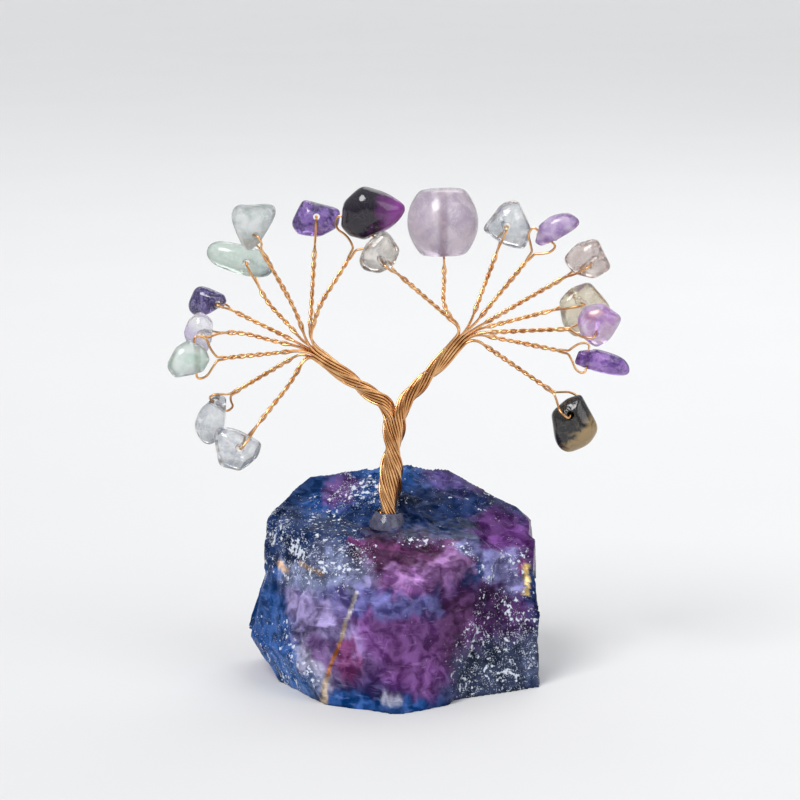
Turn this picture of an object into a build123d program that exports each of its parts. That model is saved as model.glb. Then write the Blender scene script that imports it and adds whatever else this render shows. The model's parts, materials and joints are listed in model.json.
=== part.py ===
from build123d import *
import math
import os
from dataclasses import dataclass

# Gemstone tree ornament.
# Eighteen wires are each folded through a drilled stone, twisted into a twig, laid into two limbs
# and one trunk, and glued into a socket drilled in a rough block of fluorite.
# The block's sawn face lies on Z = 0. X runs along the crown, and the crown's front faces -Y.

os.makedirs("parts", exist_ok=True)

# Wire, in millimetres
wire_diameter = 0.32  # 28 gauge craft wire
strand_gap = 0.03  # room between neighbouring strands
twist_pitch = 2.75  # one full turn of a twig's two strands

# Tree
trunk_length = 14.6  # from the base stone up to the fork
limb_length = 14.4  # from the fork to the middle of a hub
fork_drop = 1.2  # the limbs start to bend this far below the fork
socket_depth = 8.0  # of the hole drilled for the trunk
glue_film = 0.45  # glue between the trunk and the socket's wall
glue_height = 0.6  # of the bead round the trunk's foot
glue_clearance = 0.06  # between the glue and the wires

# Stones
chip_size = 6.5  # typical width of a tumbled chip
bead_diameter = 9.6  # of the barrel bead
bead_length = 8.9  # of the barrel bead, along its hole
hole_diameter = 0.9  # drilled through each stone
loop_standoff = 0.3  # straight wire outside a hole, before the loop bends

# Base stone
base_width = 39.3
base_depth = 35.2
base_height = 28.2

# Slants and directions, in degrees
lay_angle = 27  # slant of the trunk's outermost strands
trunk_lean = 3.8  # towards +X
left_limb_angle = 144  # in the crown's plane, from +X
right_limb_angle = 48
flare_angle = 50  # opening of a loop at its neck

# Where things stand, as shares of the pieces that carry them
foot_x_share = -0.02  # of the base's width, from its middle
foot_y_share = 0.0  # of the base's depth, from its middle
heart_share = 0.39  # of the base's height: where its breaks are counted from
twig_reach_share = 2.08  # of chip_size: middle of a hub to the neck of a loop
twist_ease_share = 0.12  # of a twig: the twist starts and ends gently
chip_round_share = 0.07  # of chip_size: rounding of an outline's corners
bead_end_share = 0.62  # of the bead's diameter: its two ends
bead_rest_share = 0.55  # of the bead's length: how far the folded wire reaches in
bead_crown_share = -0.3  # of glue_height: the glue bead's shoulder
bead_skirt_share = 2.6  # of glue_height: how far the glue bead runs down the block's slope
shoulder_rise_share = 1.6  # of wire_diameter: rise of the wire's shoulder under the bead
flare_share = 2  # of wire_diameter: bend where a loop opens at its neck
corner_share = 1.5  # of wire_diameter: bend where a loop turns into the hole

# How the strands pack, as shares of the distance between two strands
bundle_offset_share = 2  # middle of a limb's bundle from the trunk's axis
four_row_share = 0.866  # the layer of four pairs, nested in the gaps of the layer of five
five_row_share = -1
outer_column_share = 1.5  # outermost pair of the layer of four
hub_inset_share = 3.6  # where the strands leave the limb, before the middle of the hub
hub_radius_share = 6  # where the twigs start to twist

# How finely the wires are laid out. A turn of less than least_turn, in radians, is drawn straight.
least_turn = 2e-4
trunk_marks_a_turn = 8
limb_marks = 6
twig_marks_a_turn = 2
dense_steps = 8

# Strands lie one strand_pitch apart, a little more than a wire because they slant
strand_pitch = (wire_diameter + strand_gap) / math.cos(math.radians(lay_angle))
bundle_offset = strand_pitch * bundle_offset_share
outer_row = bundle_offset + strand_pitch * four_row_share + strand_pitch / 2
lay_pitch = 2 * math.pi * outer_row / math.tan(math.radians(lay_angle))
trunk_radius = math.hypot(outer_row, strand_pitch * outer_column_share) + wire_diameter / 2
hub_inset = strand_pitch * hub_inset_share
hub_radius = strand_pitch * hub_radius_share
flare_radius = wire_diameter * flare_share
corner_radius = wire_diameter * corner_share
socket_radius = trunk_radius + glue_clearance + glue_film
twig_reach = chip_size * twig_reach_share


@dataclass
class Stone:
    """One stone and its twig. Angles are in degrees, and outline points are shares of chip_size.

    The outline is seen from the front, measured from the hole. A twig that is not straight has
    its own angle where it leaves the hub and where it meets the stone.
    """

    name: str
    angle: float
    lean: float
    reach_share: float
    hole_share: float = 0
    hole_turn: float = 0
    thick_share: float = 0
    outline_shares: tuple = ()
    fan_angle: float = None
    tip_angle: float = None
    tip_lean: float = None


# The limb's bundle has a layer of four pairs and a layer of five, listed in the order of their angles
left_four = [
    Stone("chip_deep_amethyst", 65.8, -3, 1.09, 0.48, 75, 0.66,
          ((-0.5, 0.1), (-0.45, 0.6), (-0.07, 0.96), (0.34, 0.88), (0.94, 0.52), (0.58, 0.08), (0, -0.18),
           (-0.32, -0.1)), 80, 60),
    Stone("chip_milky_triangle", 113.8, -12, 1.14, 0.42, 20, 0.42,
          ((-0.42, 0.55), (-0.32, 0.66), (0.5, 0.66), (0.57, 0.52), (0.16, -0.2), (-0.09, -0.4),
           (-0.22, -0.25), (-0.44, 0.34)), 106, 118),
    Stone("chip_mint_oval", 182.6, -20, 0.93, 0.51, 90, 0.48,
          ((-0.64, -0.09), (-0.42, 0.31), (-0.13, 0.46), (0.2, 0.27), (0.3, 0.02), (0.15, -0.22),
           (-0.46, -0.35))),
    Stone("chip_clear_half_round", 235.2, -13, 0.91, 0.62, 0, 0.5,
          ((-0.55, 0.27), (-0.45, 0.48), (-0.07, 0.42), (0.49, 0.12), (0.39, -0.18), (0, -0.47),
           (-0.42, -0.37)), 242, 232),
]
left_five = [
    Stone("chip_violet_amethyst", 86.6, 11, 1.03, 0.59, 0, 0.5,
          ((-0.55, -0.14), (-0.28, 0.39), (0.07, 0.26), (0.51, 0.18), (0.46, -0.2), (0.07, -0.42),
           (-0.39, -0.36))),
    Stone("chip_green_oblong", 130.1, 14, 0.8, 0.54, 0, 0.48,
          ((-0.95, 0.24), (-0.77, 0.5), (-0.12, 0.4), (0.33, 0.26), (0.6, -0.12), (0.4, -0.3), (0, -0.28),
           (-0.75, -0.03)), 132, 116),
    Stone("chip_indigo_shard", 155.6, 16, 0.88, 0.31, 0, 0.4,
          ((-0.71, -0.04), (-0.54, 0.36), (-0.39, 0.38), (0.1, 0.2), (0.17, 0.03), (-0.29, -0.26),
           (-0.62, -0.26))),
    Stone("chip_lilac_clear", 168.9, -2, 0.87, 0.44, 0, 0.48,
          ((-0.38, 0.03), (-0.28, 0.3), (-0.02, 0.52), (0.24, 0.28), (0.22, -0.1), (0.1, -0.42),
           (-0.28, -0.23)), 168, 184),
    Stone("chip_clear_drop", 212.4, 13, 0.95, 0.42, 50, 0.46,
          ((-0.5, -0.5), (-0.33, -0.12), (0.05, 0.22), (0.23, 0.13), (0.19, -0.55), (-0.1, -1.0),
           (-0.33, -0.84))),
]
right_five = [
    Stone("chip_smoky_pebble", 137.3, -17, 0.97, 0.5, 0, 0.48,
          ((-0.47, 0.01), (-0.31, 0.39), (0.09, 0.66), (0.4, 0.2), (0.28, -0.12), (-0.06, -0.28),
           (-0.39, -0.18))),
    Stone("chip_lilac_splinter", 51.7, -7, 1.03, 0.47, 80, 0.4,
          ((-0.25, -0.12), (-0.14, 0.27), (0.11, 0.48), (0.48, 0.56), (0.8, 0.33), (0.34, 0.01),
           (-0.1, -0.2))),
    Stone("chip_rose_clear", 32.2, -14, 1.16, 0.66, 0, 0.48,
          ((-0.62, 0.05), (-0.34, 0.36), (0.1, 0.51), (0.41, -0.1), (0.08, -0.35), (-0.4, -0.26))),
    Stone("chip_pale_violet", 4.7, -15, 1.03, 0.62, 20, 0.5,
          ((-0.46, 0.13), (-0.31, 0.45), (0.11, 0.53), (0.54, 0.24), (0.27, -0.23), (-0.02, -0.42),
           (-0.33, -0.19))),
    Stone("chip_black_gold", 325.4, -3, 1.04, 0.56, 30, 0.58,
          ((-0.5, -0.12), (-0.17, 0.18), (0.12, 0.28), (0.53, -0.47), (0.32, -0.77), (-0.15, -1.0),
           (-0.38, -0.81))),
]
right_four = [
    Stone("barrel_bead", 108.7, 17, 0.74, fan_angle=140, tip_angle=92, tip_lean=3),
    Stone("chip_clear_wedge", 69.6, 6, 0.86, 0.56, 0, 0.5,
          ((-0.53, -0.07), (-0.11, 0.46), (0.22, 0.58), (0.53, -0.07), (0.39, -0.52), (-0.1, -0.38))),
    Stone("chip_honey_clear", 12.8, 12, 0.9, 0.62, 0, 0.46,
          ((-0.48, 0.05), (-0.23, 0.31), (0.18, 0.46), (0.68, -0.14), (0.45, -0.58), (-0.11, -0.77),
           (-0.38, -0.5))),
    Stone("chip_violet_oblong", 347.5, 8, 1.03, 0.47, 70, 0.4,
          ((-0.3, -0.15), (-0.2, 0.12), (0.2, 0.15), (0.84, -0.06), (1.05, -0.38), (0.92, -0.53),
           (0.16, -0.34))),
]

# A chip's cross-sections: place over half its thickness, and outline over its full outline
chip_section_shares = ((-1, 0.4), (-0.8, 0.68), (-0.45, 0.91), (0, 1), (0.45, 0.91), (0.8, 0.68), (1, 0.4))

# The block is two lumps grown together, each bounded by flat breaks. A break faces an azimuth, from +X,
# and an elevation, in degrees, and lies at a reach from the block's heart. All three are counted in a
# block that is squeezed until its half width, half depth and half height are each 1.
rear_breaks = (
    (0, 2, 0.98),
    (-59, 8, 0.61),
    (-42, 34, 0.98),
    (11, 41, 1.22),
    (29, 46, 1.24),
    (-114, 51, 0.67),
    (-66, 51, 0.67),
    (90, 4, 0.94),
    (93, 34, 1.09),
    (143, 6, 0.94),
    (153, 37, 1.27),
    (39, 4, 1.03),
    (180, 1, 0.9),
    (-153, 4, 0.74),
    (-119, 7, 0.71),
    (180, -28, 1.04),
    (-153, -15, 0.91),
)
front_breaks = (
    (-119, 7, 0.76),
    (-86, 6, 0.88),
    (-49, 5, 0.72),
    (-13, -10, 0.66),
    (-90, 75, 0.75),
    (-90, 54, 0.73),
    (-106, 44, 0.74),
    (180, 10, 0.92),
    (180, -28, 1.06),
    (-153, -15, 0.92),
    (-151, 9, 0.77),
    (90, 16, 0.52),
    (0, 41, 0.9),
)


def heading(angle, lean):
    """Direction at an angle in the crown's plane, leaning back from it."""
    flat = math.cos(math.radians(lean))
    return Vector(
        flat * math.cos(math.radians(angle)),
        math.sin(math.radians(lean)),
        flat * math.sin(math.radians(angle)),
    )


def turned(vector, axis, angle):
    """The vector turned by degrees about a unit axis through the origin."""
    cosine = math.cos(math.radians(angle))
    sine = math.sin(math.radians(angle))
    return vector * cosine + axis.cross(vector) * sine + axis * (axis.dot(vector) * (1 - cosine))


def carried(vector, start, end):
    """The vector turned with the smallest turn that takes one direction to another."""
    axis = start.cross(end)
    if axis.length < least_turn:
        return vector
    return turned(vector, axis.normalized(), math.degrees(math.atan2(axis.length, start.dot(end))))


def biarc_joint(start, start_way, end, end_way):
    """The point where two arcs meet that leave start one way and reach end the other way."""
    chord = end - start
    ways = start_way + end_way
    along = chord.dot(ways)
    spread = 2 * (1 - start_way.dot(end_way))
    if spread < least_turn**2:
        reach = chord.dot(chord) / (2 * along)
    else:
        reach = (math.sqrt(along**2 + spread * chord.dot(chord)) - along) / spread
    return (start + end + (start_way - end_way) * reach) / 2


def tangent_run(start, way, end):
    """An arc that leaves start along way, or a line where end lies straight ahead."""
    chord = end - start
    if chord.cross(way).length < least_turn * chord.length:
        return Line(start, end, mode=Mode.PRIVATE)
    return TangentArc(start, end, tangent=way, mode=Mode.PRIVATE)


def biarc(start, start_way, end, end_way):
    """Two runs from start to end, the second one drawn backwards from the end."""
    joint = biarc_joint(start, start_way, end, end_way)
    return tangent_run(start, start_way, joint), tangent_run(end, -end_way, joint)


def sampled(start, start_way, end, end_way, count):
    """Points along a biarc, count for each of its runs, with the first point left out."""
    first, second = biarc(start, start_way, end, end_way)
    steps = [index / count for index in range(1, count + 1)]
    return [first @ step for step in steps] + [second @ (1 - step) for step in steps]


def eased(share):
    """How far a twist has gone at a share of its length, slow at both ends."""
    ease = twist_ease_share
    rate = 1 / (1 - ease)
    if share < ease:
        return rate * share**2 / (2 * ease)
    if share > 1 - ease:
        return 1 - rate * (1 - share) ** 2 / (2 * ease)
    return rate * (share - ease / 2)


def signed_angle(start, end, axis):
    """Degrees from one direction to another, counted about an axis."""
    return math.degrees(math.atan2(start.cross(end).dot(axis), start.dot(end)))


# Base stone
trunk_way = heading(90 - trunk_lean, 0)
trunk_side = heading(-trunk_lean, 0)

heart = Vector(0, 0, base_height * heart_share)


def break_plane(azimuth, elevation, reach):
    """A flat break of the block, as a plane that faces outwards."""
    level = math.cos(math.radians(elevation))
    slope = Vector(
        level * math.cos(math.radians(azimuth)) / (base_width / 2),
        level * math.sin(math.radians(azimuth)) / (base_depth / 2),
        math.sin(math.radians(elevation)) / (base_height / 2),
    )
    return Plane(origin=heart + slope * (reach / slope.dot(slope)), z_dir=slope.normalized())


with BuildPart() as base_stone:
    for breaks in (rear_breaks, front_breaks):
        with BuildPart(mode=Mode.PRIVATE) as lump:
            Box(2 * base_width, 2 * base_depth, 2 * base_height, align=(Align.CENTER, Align.CENTER, Align.MIN))
            for azimuth, elevation, reach in breaks:
                split(bisect_by=break_plane(azimuth, elevation, reach), keep=Keep.BOTTOM)
        add(lump.part)
    plumb_line = Axis((base_width * foot_x_share, base_depth * foot_y_share, 0), (0, 0, 1))
    hits = [hit for hit, _ in base_stone.part.find_intersection_points(plumb_line)]
    foot = max(hits, key=lambda hit: hit.Z)
    trunk_plane = Plane(origin=foot, x_dir=trunk_side, z_dir=trunk_way)
    with BuildSketch(trunk_plane.offset(-socket_depth)):
        Circle(socket_radius)
    extrude(amount=2 * socket_depth, mode=Mode.SUBTRACT)
base_stone.part.label = "base_stone"
export_step(base_stone.part, "parts/base_stone.step")

# Glue: a sleeve that fills the socket round the trunk, and a low bead at the trunk's foot
glue_bore = trunk_radius + glue_clearance
bead_rim = socket_radius + glue_height
bead_skirt = glue_height * bead_skirt_share
with BuildPart() as glue_bead:
    with BuildSketch(Plane(origin=foot, x_dir=trunk_side, z_dir=(0, -1, 0))):
        with BuildLine():
            Polyline(
                (glue_bore, glue_height),
                (glue_bore, -socket_depth),
                (socket_radius, -socket_depth),
                (socket_radius, -bead_skirt),
                (bead_rim, -bead_skirt),
            )
            ThreePointArc(
                (bead_rim, -bead_skirt),
                ((bead_rim + glue_bore) / 2, glue_height * bead_crown_share),
                (glue_bore, glue_height),
            )
        make_face()
    revolve(axis=Axis(foot, trunk_way))
    add(base_stone.part, mode=Mode.SUBTRACT)
glue_bead.part.label = "glue_bead"
export_step(glue_bead.part, "parts/glue_bead.step")


def bundle_frames(side_angle, limb_way, depth_way):
    """The middle and two cross axes of a limb's bundle, from the socket's floor to near the hub.

    In the trunk the bundle turns about the trunk's axis. In the limb it turns about its own
    middle, and its second axis ends along depth_way. Strands show a left-hand lay.
    """
    frames = []
    bend_height = trunk_length - fork_drop
    rise = socket_depth - glue_clearance + bend_height
    steps = math.ceil(rise / lay_pitch * trunk_marks_a_turn) * dense_steps
    for index in range(steps + 1):
        height = bend_height - rise * (1 - index / steps)
        turn = side_angle + 360 * (bend_height - height) / lay_pitch
        second = turned(trunk_side, trunk_way, turn)
        middle = foot + trunk_way * height + second * bundle_offset
        frames.append((middle, trunk_way.cross(second), second))

    # The bend is as long on the limb as on the trunk, counted from where their middles would cross
    fork = foot + trunk_way * trunk_length
    start, _, second = frames[-1]
    start_way = (frames[-1][0] - frames[-2][0]).normalized()
    cross_reach = bundle_offset / limb_way.cross(trunk_way).length
    bend_length = fork_drop + cross_reach * limb_way.dot(trunk_way)
    bend_end = fork + limb_way * (cross_reach + bend_length)
    limb_end = fork + limb_way * (limb_length - hub_inset)
    bend = sampled(start, start_way, bend_end, limb_way, 2 * dense_steps)
    straight_steps = limb_marks * dense_steps
    straight_step = (limb_end - bend_end) / straight_steps
    middles = bend + [bend_end + straight_step * step for step in range(1, straight_steps + 1)]

    lengths = [0]
    seconds = []
    last_point = start
    last_way = trunk_way
    for index, middle in enumerate(middles):
        lengths.append(lengths[-1] + (middle - last_point).length)
        bent = min(1, (index + 1) / len(bend))
        way = (trunk_way * (1 - bent) + limb_way * bent).normalized()
        second = carried(second, last_way, way)
        seconds.append((way, second))
        last_point = middle
        last_way = way
    first_rate = -360 * lengths[-1] / lay_pitch
    twist = signed_angle(second, depth_way, limb_way)
    twist += 360 * round((first_rate - twist) / 360)
    for middle, length, (way, second) in zip(middles, lengths[1:], seconds):
        share = length / lengths[-1]
        lay = first_rate * share * (1 - share) ** 2 + twist * share**2 * (3 - 2 * share)
        second = turned(second, way, lay)
        frames.append((middle, way.cross(second), second))
    return frames


def chip_part(stone, hole, hole_way, facing):
    """A tumbled chip, thickest in the middle, and how far its surface is each way along the hole."""
    across = (Vector(1, 0, 0) - facing * facing.X).normalized()
    face_plane = Plane(origin=hole, x_dir=across, z_dir=facing)
    middle_x = sum(x for x, _ in stone.outline_shares) / len(stone.outline_shares)
    middle_y = sum(y for _, y in stone.outline_shares) / len(stone.outline_shares)
    half_thick = chip_size * stone.thick_share / 2
    with BuildPart() as chip:
        for place_share, outline_share in chip_section_shares:
            with BuildSketch(face_plane.offset(half_thick * place_share)) as section:
                with BuildLine():
                    Polyline(
                        *[
                            (
                                chip_size * (middle_x + (x - middle_x) * outline_share),
                                chip_size * (middle_y + (y - middle_y) * outline_share),
                            )
                            for x, y in stone.outline_shares
                        ],
                        close=True,
                    )
                make_face()
                fillet(section.vertices(), radius=chip_size * chip_round_share * outline_share)
        loft()
        hits = [hit for hit, _ in chip.part.find_intersection_points(Axis(hole, hole_way))]
        depths = [(hit - hole).dot(hole_way) for hit in hits]
        with BuildSketch(Plane(origin=hole, z_dir=hole_way)):
            Circle(hole_diameter / 2)
        extrude(amount=2 * chip_size, both=True, mode=Mode.SUBTRACT)
    return chip.part, max(depths), -min(depths)


def bead_part(base, way):
    """The barrel bead, standing on base, with its hole along way."""
    across = way.cross(Vector(0, 1, 0)).normalized()
    end_radius = bead_diameter * bead_end_share / 2
    with BuildPart() as bead:
        with BuildSketch(Plane(origin=base, x_dir=across, z_dir=across.cross(way))):
            with BuildLine():
                Polyline(
                    (end_radius, 0),
                    (hole_diameter / 2, 0),
                    (hole_diameter / 2, bead_length),
                    (end_radius, bead_length),
                )
                Spline(
                    (end_radius, 0),
                    (bead_diameter / 2, bead_length / 2),
                    (end_radius, bead_length),
                )
            make_face()
        revolve(axis=Axis(base, way))
    return bead.part


def strand_stations(points, marks):
    """Points and directions along a strand, at the marked places of its dense points."""
    stations = []
    for mark in marks:
        ahead = points[min(mark + 1, len(points) - 1)]
        behind = points[max(mark - 1, 0)]
        stations.append((points[mark], (ahead - behind).normalized()))
    return stations


def chip_loop(neck, way, hole, side, depths):
    """Stations of a wire's loop through a chip: out from the neck on one side, back on the other."""
    opening = math.radians(flare_angle)
    flare_out = strand_pitch / 2 + flare_radius * (1 - math.cos(opening))
    flare_up = way * flare_radius * math.sin(opening)
    ahead = side * (depths[0] + loop_standoff)
    behind = side * (depths[1] + loop_standoff)
    return [
        (neck + flare_up + side * flare_out, way * math.cos(opening) + side * math.sin(opening)),
        (hole + ahead + (side - way) * corner_radius, way),
        (hole + ahead, -side),
        (hole - behind, -side),
        (hole - behind - (side + way) * corner_radius, -way),
        (neck + flare_up - side * flare_out, side * math.sin(opening) - way * math.cos(opening)),
    ]


def bead_fold(neck, way, side):
    """Stations of a wire's folded end: a shoulder under the bead, then the fold inside its hole."""
    half = side * (strand_pitch / 2)
    shoulder = side * (hole_diameter / 2 + wire_diameter / 2)
    shoulder_rise = way * (shoulder_rise_share * wire_diameter)
    entry_rise = shoulder_rise * 2
    fold_rise = entry_rise + way * (bead_length * bead_rest_share)
    fold_top = fold_rise + way * (strand_pitch / 2)
    return [
        (neck + shoulder_rise + shoulder, way),
        (neck + entry_rise + half, way),
        (neck + fold_rise + half, way),
        (neck + fold_top, -side),
        (neck + fold_rise - half, -way),
        (neck + entry_rise - half, -way),
        (neck + shoulder_rise - shoulder, -way),
    ]


def make_stone_and_wire(stone, frames, column, row, limb_way):
    """Builds one stone and the wire that carries it, from the socket's floor to the loop and back."""
    lean_way = heading(stone.angle, stone.lean)
    fan_way = heading(stone.fan_angle or stone.angle, stone.lean)
    tip_lean = stone.lean if stone.tip_lean is None else stone.tip_lean
    tip_way = heading(stone.tip_angle or stone.angle, tip_lean)

    # The pair's middle, and the arm from its middle towards its first strand
    mids = [middle + (first * column + second * row) * strand_pitch for middle, first, second in frames]
    arms = [second for _, _, second in frames]
    marks = list(range(0, len(mids) - 1, dense_steps)) + [len(mids) - 1]

    hub = frames[-1][0] + limb_way * hub_inset
    twig_base = hub + arms[-1] * (row * strand_pitch) + fan_way * hub_radius
    neck = hub + lean_way * (twig_reach * stone.reach_share)
    hub_run = sampled(mids[-1], limb_way, twig_base, fan_way, 2 * dense_steps)
    twig_steps = round((neck - twig_base).length / twist_pitch * twig_marks_a_turn) * dense_steps
    twig_run = sampled(twig_base, fan_way, neck, tip_way, twig_steps // 2)

    # The arm keeps its place across the hub, then turns with the twist and ends along the hole
    last_way = limb_way
    arm = arms[-1]
    twig_arms = []
    for before, point in zip([mids[-1]] + hub_run + twig_run, hub_run + twig_run):
        way = (point - before).normalized()
        arm = carried(arm, last_way, way)
        twig_arms.append((way, arm))
        last_way = way
    facing = (Vector(0, -1, 0) + tip_way * tip_way.Y).normalized()
    hole_way = turned(facing, tip_way, stone.hole_turn)
    arm = carried(arm, last_way, tip_way)
    twist = signed_angle(arm, hole_way, tip_way)
    twist -= 180 * round(2 * (neck - twig_base).length / twist_pitch + twist / 180)
    for index, (way, arm) in enumerate(twig_arms):
        share = max(0, index + 1 - len(hub_run)) / len(twig_run)
        arms.append(turned(arm, way, twist * eased(share)))
    first_mark = marks[-1]
    mids += hub_run + twig_run
    marks += range(first_mark + dense_steps, first_mark + len(hub_run) + 1, dense_steps)
    marks += range(first_mark + len(hub_run) + dense_steps, len(mids) - 1, dense_steps)
    marks.append(len(mids) - 1)

    # At the neck the two strands lie square to the twig, and run along it
    half = strand_pitch / 2
    side = (arms[-1] - tip_way * tip_way.dot(arms[-1])).normalized()
    if stone.outline_shares:
        hole = neck + tip_way * (chip_size * stone.hole_share)
        solid, ahead, behind = chip_part(stone, hole, side, facing)
        loop = chip_loop(neck, tip_way, hole, side, (ahead, behind))
        pivot_way = side
    else:
        hole = neck + tip_way * (2 * shoulder_rise_share * wire_diameter)
        solid = bead_part(hole, tip_way)
        loop = bead_fold(neck, tip_way, side)
        pivot_way = tip_way
    solid.label = stone.name
    export_step(solid, f"parts/{stone.name}.step")

    up = strand_stations([mid + arm * half for mid, arm in zip(mids, arms)], marks[:-1])
    down = strand_stations([mid - arm * half for mid, arm in zip(mids, arms)], marks[:-1])
    loop = [(neck + side * half, tip_way)] + loop + [(neck - side * half, -tip_way)]
    stations = up + loop + [(point, -way) for point, way in reversed(down)]
    with BuildPart() as wire:
        with BuildLine():
            add([run for start, end in zip(stations, stations[1:]) for run in biarc(*start, *end)])
        with BuildSketch(Plane(origin=stations[0][0], z_dir=stations[0][1])):
            Circle(wire_diameter / 2)
        sweep()
    wire_name = stone.name.replace("chip_", "wire_").replace("barrel_bead", "wire_barrel_bead")
    wire.part.label = wire_name
    export_step(wire.part, f"parts/{wire_name}.step")
    return hole, pivot_way


# Stones and wires, limb by limb
pivots = {}
for side_angle, limb_angle, depth_way, four, five in (
    (180, left_limb_angle, Vector(0, -1, 0), left_four, left_five),
    (0, right_limb_angle, Vector(0, 1, 0), right_four, right_five),
):
    limb_way = heading(limb_angle, 0)
    frames = bundle_frames(side_angle, limb_way, depth_way)
    for row, layer in ((four_row_share, four), (five_row_share, five)):
        for index, stone in enumerate(layer):
            column = (len(layer) - 1) / 2 - index
            pivots[stone.name] = make_stone_and_wire(stone, frames, column, row, limb_way)

for name, (hole, way) in pivots.items():
    place = f"({hole.X:.4f}, {hole.Y:.4f}, {hole.Z:.4f})"
    print(f"{name} turns about {place} along ({way.X:.5f}, {way.Y:.5f}, {way.Z:.5f})")
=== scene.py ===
"""Gemstone tree ornament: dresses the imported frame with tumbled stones, copper wire and a rough block.

Blender works in metres. Values written in millimetres say so, and MM turns them into metres.
X runs along the crown, -Y faces the front and Z points up from the block's sawn underside.
"""

import json
import logging
import math
from dataclasses import dataclass
from enum import Enum

import bmesh
import bpy
import numpy as np
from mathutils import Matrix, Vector

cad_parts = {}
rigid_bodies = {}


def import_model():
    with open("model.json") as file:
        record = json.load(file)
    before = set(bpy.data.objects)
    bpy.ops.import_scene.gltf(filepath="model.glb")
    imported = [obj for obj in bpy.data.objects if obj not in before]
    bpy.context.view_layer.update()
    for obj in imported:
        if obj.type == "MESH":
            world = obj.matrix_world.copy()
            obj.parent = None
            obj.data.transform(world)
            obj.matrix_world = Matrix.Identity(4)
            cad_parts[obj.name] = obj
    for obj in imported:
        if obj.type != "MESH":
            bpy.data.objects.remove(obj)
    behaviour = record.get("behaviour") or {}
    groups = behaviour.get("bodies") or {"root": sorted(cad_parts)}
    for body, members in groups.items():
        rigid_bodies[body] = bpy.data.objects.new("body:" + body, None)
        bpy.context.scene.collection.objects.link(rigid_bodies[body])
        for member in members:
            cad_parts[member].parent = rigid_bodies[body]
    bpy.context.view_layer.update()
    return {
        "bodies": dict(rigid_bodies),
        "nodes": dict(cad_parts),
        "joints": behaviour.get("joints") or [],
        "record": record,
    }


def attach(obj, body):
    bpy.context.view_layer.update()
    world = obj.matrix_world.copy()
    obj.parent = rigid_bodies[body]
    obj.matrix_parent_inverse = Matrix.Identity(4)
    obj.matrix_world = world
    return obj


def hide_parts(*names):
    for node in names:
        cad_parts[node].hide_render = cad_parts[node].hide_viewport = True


LOG = logging.getLogger("gem_tree")
MM = 0.001
LEAST_AREA = 1e-12
LEAST_FALL = 1e-6
LEAST_LINE = 1e-9
WAVE_SPREAD = (0.6, 1.7)
FLAKE_SHAKE_MM = 0.35
FLAKE_WAVE_MM = 2.0
FLAKE_WAVES = 8
VEIL_SCALE = 1.4
VEIL_HALF_WIDTH = 0.035
SUGAR_COARSE_SCALE = 0.35
SUGAR_FINE_SCALE = 1.7
SUGAR_COARSE_SHARE = 0.35
SUGAR_EDGE = 0.68
SUGAR_EDGE_DROP = 0.15
SUGAR_SOFTNESS = 0.045

Array = np.ndarray
Colour = tuple[float, float, float]
Pair = tuple[float, float]
Spot = tuple[float, float]
Way = tuple[float, float, float]
Wave = tuple[float, float, int]
Material = bpy.types.Material
Node = bpy.types.Node
Piece = bpy.types.Object
Socket = bpy.types.NodeSocket
Tree = bpy.types.NodeTree


def heading(azimuth: float, elevation: float) -> Array:
    """Unit vector at an azimuth from +X and an elevation above the table.

    Args:
        azimuth: Degrees about +Z, counted from +X.
        elevation: Degrees above the horizontal.

    Returns:
        The vector, as an array of three numbers.
    """
    turn = math.radians(azimuth)
    rise = math.radians(elevation)
    return np.array([math.cos(rise) * math.cos(turn), math.cos(rise) * math.sin(turn), math.sin(rise)])


def smooth_step(values: Array) -> Array:
    """Eases values from 0 to 1 with level ends: 3 t squared less 2 t cubed."""
    share = np.clip(values, 0, 1)
    return share * share * (3 - 2 * share)


def wave_noise(points: Array, size: float, seed: int, waves: int = 20) -> Array:
    """Rolling noise: a sum of sine waves along seeded directions.

    Args:
        points: Places, with the three coordinates on the last axis.
        size: Typical wavelength, in the units of the points.
        seed: Picks the waves.
        waves: How many are added up.

    Returns:
        One value for each point, mostly between -1 and 1.
    """
    random = np.random.default_rng(seed)
    ways = random.normal(size=(waves, 3))
    ways /= np.linalg.norm(ways, axis=1, keepdims=True)
    rates = 2 * math.pi / (size * random.uniform(*WAVE_SPREAD, waves))
    phases = random.uniform(0, 2 * math.pi, waves)
    return np.sin(points @ (ways * rates[:, None]).T + phases).sum(-1) / math.sqrt(2 * waves)


def flake_marks(points: Array, count: int, slope: float, seed: int) -> tuple[Array, Array]:
    """Broken flakes: a point takes the nearest of seeded centres, the tilted plane through it and its tone.

    Args:
        points: Places on a surface in millimetres, with the three coordinates on the last axis.
        count: Number of flakes.
        slope: Typical tilt, as rise over run.
        seed: Picks the centres, the tilts and the tones.

    Returns:
        The height of the flake at each point in millimetres, and its tone from -1 to 1.
    """
    random = np.random.default_rng(seed)
    flat = points.reshape(-1, 3).astype(np.float32)
    centres = flat[random.choice(len(flat), count, replace=False)]
    tilts = random.normal(size=(count, 3)).astype(np.float32) * slope
    tones = random.uniform(-1, 1, count)
    waves = [wave_noise(flat, FLAKE_WAVE_MM, seed + turn, FLAKE_WAVES) for turn in (1, 2, 3)]
    shaken = flat + FLAKE_SHAKE_MM * np.stack(waves, -1)
    apart = (shaken**2).sum(1)[:, None] + (centres**2).sum(1) - 2 * shaken @ centres.T
    nearest = apart.argmin(1)
    heights = ((flat - centres[nearest]) * tilts[nearest]).sum(1)
    return heights.reshape(points.shape[:-1]), tones[nearest].reshape(points.shape[:-1])


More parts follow.
